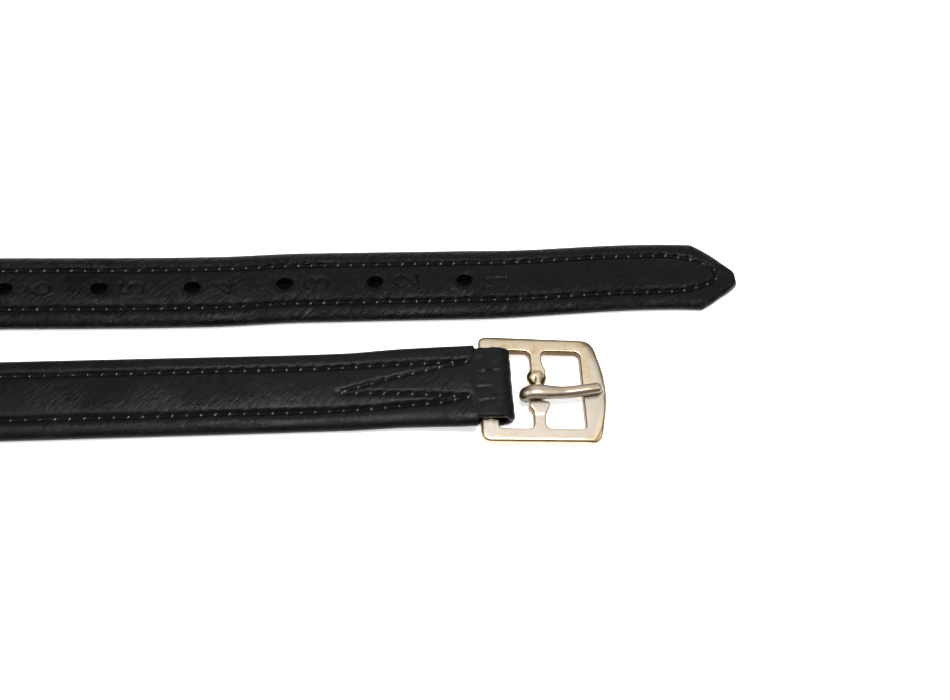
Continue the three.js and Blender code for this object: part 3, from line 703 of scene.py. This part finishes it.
FRAME_HALF_THICK = 1.65 * MM
FRAME_TILT = math.radians(3)
FRAME_YAW = math.radians(-1.3)  # it hangs a little askew on the leather
FRAME_LEFT = -3.4 * MM
FRAME_TOP_Y = 19.3 * MM
FRAME_BOTTOM_Y = 19.9 * MM
FRAME_FRONT = 40.1 * MM
BACK_RAIL_RIGHT = 2.6 * MM
FRAME_MIDDLE_X = (FRAME_LEFT + FRAME_FRONT) / 2
WINDOW_TOP_Y = 14.0 * MM
WINDOW_BOTTOM_Y = 15.1 * MM
CENTRE_BAR = (14.4 * MM, 18.4 * MM)
CENTRE_BAR_X = 16.5 * MM
FRONT_BAR_LEFT = 31.9 * MM
TONGUE_Y = -2.6 * MM
TONGUE_RADIUS = 1.85 * MM
TONGUE_TIP = (38.2 * MM, -0.4 * MM)
TONGUE_SEAT = 0.7 * MM


def buckle_place():
    """From the buckle's own axes, with the end bar as Y, to the row frame."""
    tilt = Matrix.Rotation(FRAME_TILT, 4, "Y")
    return Matrix.Translation(END_BAR) @ tilt @ Matrix.Rotation(FRAME_YAW, 4, "Z")


def outline_solid(name, outline, low, high):
    """An upright solid on a closed outline of (x, y)."""
    count = len(outline)
    vertices = [(x, y, low) for x, y in outline] + [(x, y, high) for x, y in outline]
    faces = [[i, (i + 1) % count, count + (i + 1) % count, count + i] for i in range(count)]
    faces.append(list(range(count))[::-1])
    faces.append([count + i for i in range(count)])
    return new_object(name, vertices, faces)


def rectangle(x0, x1, y0, y1):
    return [(x0, y0), (x1, y0), (x1, y1), (x0, y1)]


def curve_to(points, control, end, count=10):
    """Adds a quadratic curve from the last point to end."""
    x0, y0 = points[-1]
    for t in np.linspace(0, 1, count + 1)[1:]:
        a, b, c = (1 - t) ** 2, 2 * t * (1 - t), t * t
        points.append((a * x0 + b * control[0] + c * end[0], a * y0 + b * control[1] + c * end[1]))


def rounded_corners(corners, radii):
    """A closed outline whose corners are rounded, each by its own radius."""
    points = []
    total = len(corners)
    for i in range(total):
        here = Vector(corners[i])
        before = Vector(corners[i - 1]) - here
        after = Vector(corners[(i + 1) % total]) - here
        half = before.angle(after) / 2
        reach = radii[i] / math.tan(half)
        start = here + before.normalized() * reach
        end = here + after.normalized() * reach
        for t in np.linspace(0, 1, 8):
            # a circular arc is close to this curve for the corners used here
            p = start.lerp(here, t).lerp(here.lerp(end, t), t)
            points.append((p.x, p.y))
    return points


def frame_outline():
    sides = []
    for y, flare in ((FRAME_TOP_Y, 0.6 * MM), (FRAME_BOTTOM_Y, 0)):
        half = [(FRAME_LEFT, 0), (FRAME_LEFT, y + flare - 3.6 * MM)]
        curve_to(half, (FRAME_LEFT, y + flare), (FRAME_LEFT + 3.6 * MM, y + flare))
        half.append((33.8 * MM, y))
        curve_to(half, (37.3 * MM, y - 0.15 * MM), (38.2 * MM, 13 * MM), 12)
        curve_to(half, (40.0 * MM, 6.5 * MM), (FRAME_FRONT, 0), 12)
        sides.append(half)
    upper, lower = sides
    return upper + [(x, -y) for x, y in lower[-2:0:-1]]


def sphere(name, centre, size):
    bpy.ops.mesh.primitive_uv_sphere_add(segments=40, ring_count=20, radius=1)
    obj = bpy.context.object
    obj.name = name
    obj.data.transform(Matrix.Translation(centre) @ Matrix.Diagonal((*size, 1)))
    return obj


def rod(name, start, end, radius):
    start, end = Vector(start), Vector(end)
    bpy.ops.mesh.primitive_cylinder_add(vertices=32, radius=radius, depth=(end - start).length)
    obj = bpy.context.object
    obj.name = name
    turn = (end - start).to_track_quat("Z", "Y").to_matrix().to_4x4()
    obj.data.transform(Matrix.Translation((start + end) / 2) @ turn)
    return obj


def dome_edges(mesh):
    """Rolls the upper face down towards its far and front edges."""
    for vertex in mesh.vertices:
        x, y, z = vertex.co
        if z > 0:
            far = max(0, (y - 15 * MM) / (FRAME_TOP_Y - 15 * MM))
            front = max(0, (math.hypot(x - 10 * MM, y) - 26.5 * MM) / (4 * MM))
            front = min(front, 1.2) * float(smoothstep(x, 28 * MM, 37 * MM))
            drop = 0.95 * MM * far**2 + 0.6 * MM * front**2
            vertex.co.z = z - drop * z / FRAME_HALF_THICK


def buckle_casting(material):
    low, high = -FRAME_HALF_THICK, FRAME_HALF_THICK
    frame_solid = outline_solid("buckle_casting", frame_outline()[::-1], low, high)
    bevel = frame_solid.modifiers.new("bevel", "BEVEL")
    bevel.width = 1.05 * MM
    bevel.segments = 5
    bevel.limit_method = "ANGLE"
    bevel.angle_limit = math.radians(50)
    apply_modifiers(frame_solid)
    left, right = CENTRE_BAR
    cuts = []
    for x0, x1, radii in (
        (BACK_RAIL_RIGHT, left, (1.6, 2.6, 2.4, 1.6)),
        (right, FRONT_BAR_LEFT, (2.2, 1.5, 2.0, 2.0)),
    ):
        corners = rectangle(x0, x1, -WINDOW_BOTTOM_Y, WINDOW_TOP_Y)
        outline = rounded_corners(corners, [r * MM for r in radii])
        cuts.append(outline_solid("window", outline, low - MM, high + MM))
    slot_half = LOOP_HALF_WIDTH + 0.35 * MM
    slot_middle = LOOP_SHIFT + RUN_Y[-1] - END_BAR.y
    slot = rectangle(FRAME_LEFT - MM, BACK_RAIL_RIGHT + 0.5 * MM,
                     slot_middle - slot_half, slot_middle + slot_half)
    cuts.append(outline_solid("slot", slot, low - MM, high + MM))
    neck = rectangle(left - 4 * MM, right + 4 * MM, -4.9 * MM, 3.2 * MM)
    cuts.append(outline_solid("neck_space", neck, low - MM, high + MM))
    combine(frame_solid, cuts, "DIFFERENCE")

    x = CENTRE_BAR_X

    def beside_neck(*places):
        return [(x + aside * MM, y * MM) for aside, y in places]

    block = beside_neck((-3.6, -6.8), (-2.6, -8.0), (-1.8, -9.8), (1.9, -9.8),
                        (2.7, -8.4), (3.5, -7.0), (3.5, -5.05), (-3.0, -5.05))
    flare = beside_neck((-1.8, 11), (1.8, 11), (2.2, 8.8), (3.1, 6.4),
                        (2.6, 4.2), (-2.2, 4.2), (-2.2, 6.8), (-1.9, 8.4))
    parts = [
        rod("end_bar", (0, -WINDOW_BOTTOM_Y + MM, 0), (0, WINDOW_TOP_Y - 0.5 * MM, 0), 1.7 * MM),
        rod("neck", (x, -6 * MM, 0), (x, 4.4 * MM, 0), 1.6 * MM),
        rod("collar", (x + 0.1 * MM, 0.5 * MM, 0), (x + 0.1 * MM, 4.4 * MM, 0), 2.2 * MM),
        sphere("bulb", (x, 3.1 * MM, 0), (2.9 * MM, 2.3 * MM, 2.15 * MM)),
        sphere("bead", (x - 0.1 * MM, 4.6 * MM, 0), (3.45 * MM, 3.0 * MM, 2.15 * MM)),
        outline_solid("block", block, low + 0.2 * MM, high + 0.2 * MM),
        outline_solid("flare", flare, low, high),
    ]
    combine(frame_solid, parts, "UNION")
    seat_radius = TONGUE_RADIUS + GAP
    seat_z = high + seat_radius - TONGUE_SEAT
    seat = rod("seat", (FRONT_BAR_LEFT - 3 * MM, -1.95 * MM, seat_z),
               (FRAME_FRONT - 1.6 * MM, TONGUE_TIP[1], seat_z), seat_radius)
    dent = sphere("dent", (x - 1.2 * MM, 3.2 * MM, 2.6 * MM), (0.8 * MM, 1.4 * MM, 1.0 * MM))
    combine(frame_solid, [seat, dent], "DIFFERENCE")

    remesh = frame_solid.modifiers.new("remesh", "REMESH")
    remesh.mode = "VOXEL"
    remesh.voxel_size = 0.21 * MM
    soften = frame_solid.modifiers.new("soften", "SMOOTH")
    soften.factor = 0.5
    soften.iterations = 20
    apply_modifiers(frame_solid)
    mesh = frame_solid.data
    mesh.materials.clear()
    mesh.materials.append(material)
    dome_edges(mesh)
    mesh.transform(buckle_place())
    finish_shading(frame_solid, 180)
    return frame_solid


def tongue_rod(material):
    """A hook round the neck of the centre bar, and a shaft that narrows a little to its tip."""
    shaft_z = FRAME_HALF_THICK - TONGUE_SEAT + GAP + TONGUE_RADIUS
    orbit_top, orbit_low = 3.75 * MM, 2.7 * MM
    reach = TONGUE_TIP[0] - CENTRE_BAR_X
    skew = TONGUE_TIP[1] - TONGUE_Y
    line = []                  # x, y, z, radius sideways, radius up and down
    for turn in np.linspace(-38, -262, 30):
        grown = float(smoothstep(-turn, 90, 235))
        orbit = orbit_low + (orbit_top - orbit_low) * grown
        a = math.radians(turn)
        wide = (0.95 + 1.6 * grown) * MM
        deep = (0.75 + 0.95 * grown) * MM
        stretch = 1 if math.cos(a) > 0 else 1.5
        line.append((stretch * orbit * math.cos(a), 0, orbit * math.sin(a), wide, deep))
    for t in np.linspace(0.1, 0.925, 20):
        settle = float(smoothstep(t, 0, 0.45))
        sag = 0.5 * MM * float(bump_shape(t, 0.36, 0.32))
        z = orbit_top + (shaft_z - orbit_top) * settle - sag
        wide = (2.55 - 0.36 * settle - 0.2 * t) * MM
        line.append((reach * t, skew * t * t, z, wide, (1.72 + 0.18 * settle) * MM))
    for back in (0.95, 0.8, 0.6, 0.4, 0.22, 0.1, 0.03, 0):
        round_off = math.sqrt(max(0.006, 1 - (1 - back) ** 2))
        x = reach - back * TONGUE_RADIUS
        line.append((x, skew * (x / reach) ** 2, shaft_z,
                     2.0 * MM * round_off, 1.88 * MM * round_off))
    values = np.array(line)
    centre = values[:, :3] + np.array([CENTRE_BAR_X, TONGUE_Y, 0])
    along = np.gradient(centre, axis=0)
    along /= np.linalg.norm(along, axis=1)[:, None]
    sideways = np.array([0, 1.0, 0])
    out = np.cross(along, sideways)
    out /= np.linalg.norm(out, axis=1)[:, None]
    level = np.cross(out, along)
    turns = np.linspace(0, 2 * math.pi, 32, endpoint=False)
    ring = values[:, 3, None, None] * np.cos(turns)[None, :, None] * level[:, None]
    ring = ring + values[:, 4, None, None] * np.sin(turns)[None, :, None] * out[:, None]
    obj = tube("tongue_rod", centre[:, None] + ring, material, 70)
    obj.data.transform(buckle_place())
    return obj


# ---- materials ----------------------------------------------------------------------------


class Material:
    """A node material in the making, with its places (here) and normals at hand."""

    def __init__(self, name):
        self.made = bpy.data.materials.new(name)
        self.made.use_nodes = True
        self.tree = self.made.node_tree
        coordinates = self.node("ShaderNodeTexCoord").outputs
        self.here, self.normal = coordinates["Object"], coordinates["Normal"]

    def set_inputs(self, made, inputs):
        for key, value in inputs.items():
            if isinstance(value, bpy.types.NodeSocket):
                self.tree.links.new(value, made.inputs[key])
            else:
                made.inputs[key].default_value = value

    def node(self, kind, inputs=None, **settings):
        made = self.tree.nodes.new(kind)
        for key, value in settings.items():
            setattr(made, key, value)
        self.set_inputs(made, inputs or {})
        return made

    def mapped(self, scale, turn=0, kind="POINT"):
        """The places scaled, and turned about Z by so many degrees."""
        inputs = {"Vector": self.here, "Scale": scale, "Rotation": (0, 0, math.radians(turn))}
        return self.node("ShaderNodeMapping", inputs, vector_type=kind).outputs["Vector"]

    def split(self, vector):
        return self.node("ShaderNodeSeparateXYZ", {"Vector": vector}).outputs

    def noise(self, vector, scale, detail, roughness=0.55, distortion=0.0):
        return self.node("ShaderNodeTexNoise", {
            "Vector": vector, "Scale": scale, "Detail": detail, "Roughness": roughness,
            "Distortion": distortion,
        }).outputs["Fac"]

    def remap(self, value, low, high, to_low, to_high):
        return self.node("ShaderNodeMapRange", {
            "Value": value, "From Min": low, "From Max": high, "To Min": to_low, "To Max": to_high,
        }).outputs["Result"]

    def ramp(self, value, *stops):
        made = self.node("ShaderNodeValToRGB", {"Fac": value})
        elements = made.color_ramp.elements
        elements[0].position, elements[0].color = stops[0][0], (*stops[0][1], 1)
        elements[1].position, elements[1].color = stops[-1][0], (*stops[-1][1], 1)
        for position, colour in stops[1:-1]:
            elements.new(position).color = (*colour, 1)
        return made.outputs["Color"]

    def math(self, operation, a, b=0):
        return self.node("ShaderNodeMath", {0: a, 1: b}, operation=operation).outputs["Value"]

    def times(self, a, b):
        return self.math("MULTIPLY", a, b)

    def relief(self, height, distance, strength, beneath=None):
        inputs = {"Height": height, "Distance": distance, "Strength": strength}
        if beneath:
            inputs["Normal"] = beneath
        return self.node("ShaderNodeBump", inputs).outputs["Normal"]

    def finish(self, inputs):
        self.set_inputs(self.tree.nodes["Principled BSDF"], inputs)
        return self.made


CREASE_SIZE = (4.2 * MM, 1.15 * MM, 1.15 * MM)
CREASE_SLANT = 48
CREASE_DEPTH = 0.32 * MM
PORE_DEPTH = 0.035 * MM


def leather(name, dark, light, roughness, creases, pebble, specular):
    """Black grain leather: diagonal creases, fine pebble, and polish that wears unevenly."""
    m = Material(name)
    crease = m.noise(m.mapped(CREASE_SIZE, CREASE_SLANT, "TEXTURE"), 1.0, 4, 0.6, 0.7)
    patches = m.noise(m.here, 55, 3, 0.5)
    mottled = m.noise(m.here, 260, 4, 0.6)
    pores = m.node("ShaderNodeTexVoronoi", {"Vector": m.here, "Scale": 1900, "Randomness": 1.0},
                   feature="DISTANCE_TO_EDGE").outputs["Distance"]
    worn = m.math("ADD", m.times(patches, 0.6), m.times(crease, 0.4))
    fine = m.relief(m.remap(pores, 0.0, 0.35, 0.0, 1.0), PORE_DEPTH, pebble)
    coarse = m.times(m.remap(crease, 0.3, 0.7, 0, 1), m.remap(patches, 0.35, 0.62, 0.35, 1.0))
    return m.finish({
        "Base Color": m.ramp(mottled, (0.3, dark), (0.75, light)),
        "Roughness": m.remap(worn, 0.3, 0.7, roughness - 0.09, roughness + 0.1),
        "Specular IOR Level": specular,
        "Normal": m.relief(coarse, CREASE_DEPTH, creases, fine),
    })


def brass(name):
    """Satin cast brass, pale on its faces, with painted shade in its hollows, on its rounded edges, on
    the walls inside the windows, and in clouds towards the top bar inside the frame.
    """
    m = Material(name)
    scratches = m.noise(m.mapped((260, 2600, 1800), 12), 1.0, 5, 0.65)
    cloud = m.noise(m.here, 170, 5, 0.6)
    pits = m.noise(m.here, 1400, 2, 0.5)
    # painted shade: the ambient occlusion below darkens the colour in the casting's hollows and corners
    cavity = m.node("ShaderNodeAmbientOcclusion", {"Distance": 2.4 * MM}, samples=8,
                    only_local=True).outputs["AO"]
    upright = m.math("ABSOLUTE", m.split(m.normal)["Z"])
    spot = m.split(m.here)
    from_bar_y = m.math("SUBTRACT", spot["Y"], END_BAR.y)
    from_middle_x = m.math("SUBTRACT", spot["X"], END_BAR.x + FRAME_MIDDLE_X)
    out_x = m.math("DIVIDE", m.math("ABSOLUTE", from_middle_x), FRAME_FRONT / 2)
    out_y = m.math("DIVIDE", m.math("ABSOLUTE", from_bar_y), FRAME_TOP_Y)
    inside = m.remap(m.math("MAXIMUM", out_x, out_y), 0.82, 0.9, 1, 0)
    # painted shade on the upright walls inside the windows
    painted_window_wall_shade = m.times(inside, m.remap(upright, 0.3, 0.92, 0.62, 0))
    # painted shade and dark reflection on the rounded edges, where the surface turns from upright
    painted_edge_shade = m.times(m.remap(upright, 0.86, 0.992, 0.40, 0), m.remap(upright, 0.25, 0.6, 0.1, 1.3))
    # painted shade, in clouds, growing towards the top bar inside the frame
    painted_upper_bar_shade = m.times(m.remap(from_bar_y, 0.5 * MM, 6 * MM, 0, 0.26),
                        m.remap(cloud, 0.3, 0.65, 1.5, 0.4))
    shade = m.times(cavity, m.remap(cloud, 0.3, 0.7, 0.84, 1.08))
    for darker in (painted_window_wall_shade, painted_edge_shade, m.times(inside, painted_upper_bar_shade)):
        shade = m.math("SUBTRACT", shade, darker)
    return m.finish({
        "Base Color": m.ramp(shade, (0.18, (0.10, 0.052, 0.018)), (0.46, (0.35, 0.24, 0.12)),
                             (0.74, (0.62, 0.50, 0.33)), (0.98, (0.64, 0.565, 0.48))),
        "Metallic": 1.0,
        "Roughness": m.remap(scratches, 0.3, 0.7, 0.29, 0.41),
        "Normal": m.relief(scratches, 0.010 * MM, 0.6, m.relief(pits, 0.012 * MM, 0.5)),
    })


def tongue_metal(name):
    """Grey bronze, smoother and darker than the casting, with painted light along the top and painted
    shade underneath.
    """
    m = Material(name)
    streaks = m.noise(m.mapped((240, 2400, 2400)), 1.0, 4, 0.6)
    cloud = m.noise(m.here, 160, 3, 0.5)
    # painted shade: darker where the rod faces down, lighter along its top
    painted_underside_shade = m.remap(m.split(m.normal)["Z"], -0.1, 0.55, -0.55, 0)
    return m.finish({
        "Base Color": m.ramp(m.math("ADD", cloud, painted_underside_shade), (0.0, (0.13, 0.095, 0.06)),
                             (0.3, (0.41, 0.33, 0.25)), (0.7, (0.57, 0.47, 0.37))),
        "Metallic": 1.0,
        "Roughness": m.remap(streaks, 0.3, 0.7, 0.28, 0.38),
        "Normal": m.relief(streaks, 0.004 * MM, 0.4),
    })


def thread_material(name, dark, light, roughness):
    """Waxed twisted thread."""
    m = Material(name)
    twist = m.node("ShaderNodeTexWave", {
        "Vector": m.mapped((1, 1, 1), 35), "Scale": 850.0, "Distortion": 1.5, "Detail": 2.0,
    }).outputs["Fac"]
    return m.finish({
        "Base Color": m.ramp(twist, (0.2, dark), (0.8, light)),
        "Roughness": roughness,
        "Specular IOR Level": 0.08,
        "Normal": m.relief(twist, 0.05 * MM, 0.7),
    })


def webbing(name):
    """Woven polyester of the core, seen only inside the holes."""
    m = Material(name)
    place = m.mapped((1, 1.4, 1))
    weave = m.node("ShaderNodeTexChecker", {"Vector": place, "Scale": 2600.0}).outputs["Fac"]
    mixed = m.math("ADD", m.times(weave, 0.5), m.noise(place, 3000, 2))
    return m.finish({
        "Base Color": m.ramp(mixed, (0.3, (0.002, 0.002, 0.0024)), (0.9, (0.007, 0.007, 0.008))),
        "Roughness": 0.9,
        "Specular IOR Level": 0.05,
        "Normal": m.relief(mixed, 0.1 * MM, 0.8),
    })


def floor_material():
    m = Material("pale_floor")
    cloud = m.noise(m.here, 6, 2, 0.4)
    return m.finish({
        "Base Color": m.ramp(cloud, (0.2, (0.90, 0.90, 0.90)), (0.8, (0.93, 0.93, 0.93))),
        "Roughness": 0.9,
        "Emission Color": (1, 1, 1, 1),
        "Emission Strength": 0.6,
    })


# name, darkest and lightest colour, roughness, strength of creases and pebble, specular level
materials = {
    "cover": leather("black_grain_leather", (0.0007, 0.0007, 0.0008), (0.002, 0.002, 0.0022),
                     0.30, 1.0, 0.6, 0.115),
    # the buckle half's copy of the same leather: smoother, with a lighter colour that is painted light
    "smooth_cover_painted_lighter": leather("smooth_grain_leather_painted_lighter", (0.002, 0.002, 0.0022),
                            (0.005, 0.005, 0.0055), 0.34, 0.45, 0.5, 0.135),
    "inside": leather("raw_leather_inside", (0.002, 0.002, 0.002), (0.006, 0.0055, 0.005),
                      0.8, 0.3, 0.5, 0.05),
    # near-black so that the lining at the bottom of each punched hole reads as painted shade
    "lining": leather("black_lining_leather", (0.001, 0.001, 0.001), (0.0028, 0.0026, 0.0026),
                      0.75, 0.25, 0.6, 0.03),
    "core": webbing("core_webbing"),
    "thread": thread_material("black_thread", (0.002, 0.002, 0.0022), (0.007, 0.007, 0.0075),
                              0.75),
    # pale grey for the small crossing of the threads at each stitch hole
    "thread_crossing": thread_material("pale_grey_thread", (0.10, 0.10, 0.105),
                                       (0.30, 0.30, 0.31), 0.5),
    "brass": brass("pale_brass"),
    "tongue": tongue_metal("grey_bronze"),
}

# ---- pieces -------------------------------------------------------------------------------

point_cover, point_core, point_lining = build_half(
    1, ("point_half_cover", "point_half_core", "point_half_lining"), materials)
buckle_cover, buckle_core, buckle_lining = build_half(
    -1, ("buckle_half_cover", "buckle_half_core", "buckle_half_lining"),
    {**materials, "cover": materials["smooth_cover_painted_lighter"]})
point_stitches = stitching(1, "point_half_stitches", materials)
buckle_stitches = stitching(-1, "buckle_half_stitches", materials)
casting = buckle_casting(materials["brass"])
tongue = tongue_rod(materials["tongue"])


def follow_flex(pieces):
    """Bakes the placement of these pieces into their meshes."""
    for piece in pieces:
        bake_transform(piece)


follow_flex([point_cover, point_core, point_lining, point_stitches])
follow_flex([buckle_cover, buckle_core, buckle_lining, buckle_stitches])
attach(casting, "buckle")
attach(tongue, "tongue")

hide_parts("point_cover", "middle_cover")
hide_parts("point_core", "middle_core")
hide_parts("point_lining", "middle_lining")
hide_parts("point_seam", "middle_outer_seam", "middle_inner_seam")
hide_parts("buckle_end_cover", "turned_back_end", "middle_cover")
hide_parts("buckle_end_core", "middle_core")
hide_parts("buckle_end_lining", "middle_lining")
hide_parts("buckle_end_seam", "middle_outer_seam", "middle_inner_seam")
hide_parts("buckle_frame")
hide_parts("tongue")

# ---- floor, lights and camera -------------------------------------------------------------

FLOOR_SIZE = 6
FLOOR_DROP = 0.05 * MM         # so that no two faces lie in one plane
bpy.ops.mesh.primitive_plane_add(size=FLOOR_SIZE, location=(0, 0, -FLOOR_DROP))
floor = bpy.context.object
floor.name = "floor"
floor.data.materials.append(floor_material())

world = bpy.data.worlds.new("studio")
world.use_nodes = True
background = world.node_tree.nodes["Background"]
background.inputs["Color"].default_value = (0.93, 0.96, 1.0, 1)
background.inputs["Strength"].default_value = 0.09
bpy.context.scene.world = world
bpy.context.scene.view_settings.view_transform = "Standard"


def direction_at(azimuth, elevation):
    """The way to a place at these angles, in degrees: azimuth 0 is -Y and 90 is +X."""
    a, e = math.radians(azimuth), math.radians(elevation)
    return Vector((math.sin(a) * math.cos(e), -math.cos(a) * math.cos(e), math.sin(e)))


def softbox(name, azimuth, elevation, distance, size, power):
    direction = direction_at(azimuth, elevation)
    light = bpy.data.lights.new(name, "AREA")
    light.shape = "RECTANGLE"
    light.size, light.size_y = size
    light.energy = power
    obj = bpy.data.objects.new(name, light)
    obj.location = Vector((END_BAR.x, RUNS_MIDDLE_Y, 0)) + direction * distance
    obj.rotation_euler = direction.to_track_quat("Z", "Y").to_euler()
    bpy.context.scene.collection.objects.link(obj)


softbox("top", -10, 87, 1.2, (0.42, 0.24), 12.5)
softbox("back", 170, 42, 1.3, (1.4, 1.2), 5.6)
softbox("front", -12, 20, 1.3, (1.2, 0.4), 1.2)
softbox("left", -88, 45, 1.3, (0.9, 0.7), 5)
softbox("right", 88, 45, 1.3, (0.9, 0.7), 4)

CAMERA_AZIMUTH = -9.76
CAMERA_ELEVATION = 60.48
CAMERA_ROLL = 7.18
CAMERA_DISTANCE = 339.11 * MM
CAMERA_LENS = 36.81            # on a sensor 36 wide
CAMERA_TARGET = Vector((END_BAR.x - 3.47 * MM, END_BAR.y + 17.49 * MM, 0))

outward = direction_at(CAMERA_AZIMUTH, CAMERA_ELEVATION)
right = Vector((0, 0, 1)).cross(outward).normalized()
upward = outward.cross(right)
roll = math.radians(CAMERA_ROLL)
rolled_right = right * math.cos(roll) + upward * math.sin(roll)
rolled_up = upward * math.cos(roll) - right * math.sin(roll)
camera_data = bpy.data.cameras.new("camera")
camera_data.sensor_width = 36
camera_data.lens = CAMERA_LENS
camera_data.clip_start = 0.01
camera = bpy.data.objects.new("camera", camera_data)
turn = Matrix((rolled_right, rolled_up, outward)).transposed().to_4x4()
camera.matrix_world = Matrix.Translation(CAMERA_TARGET + outward * CAMERA_DISTANCE) @ turn
bpy.context.scene.collection.objects.link(camera)
bpy.context.scene.camera = camera
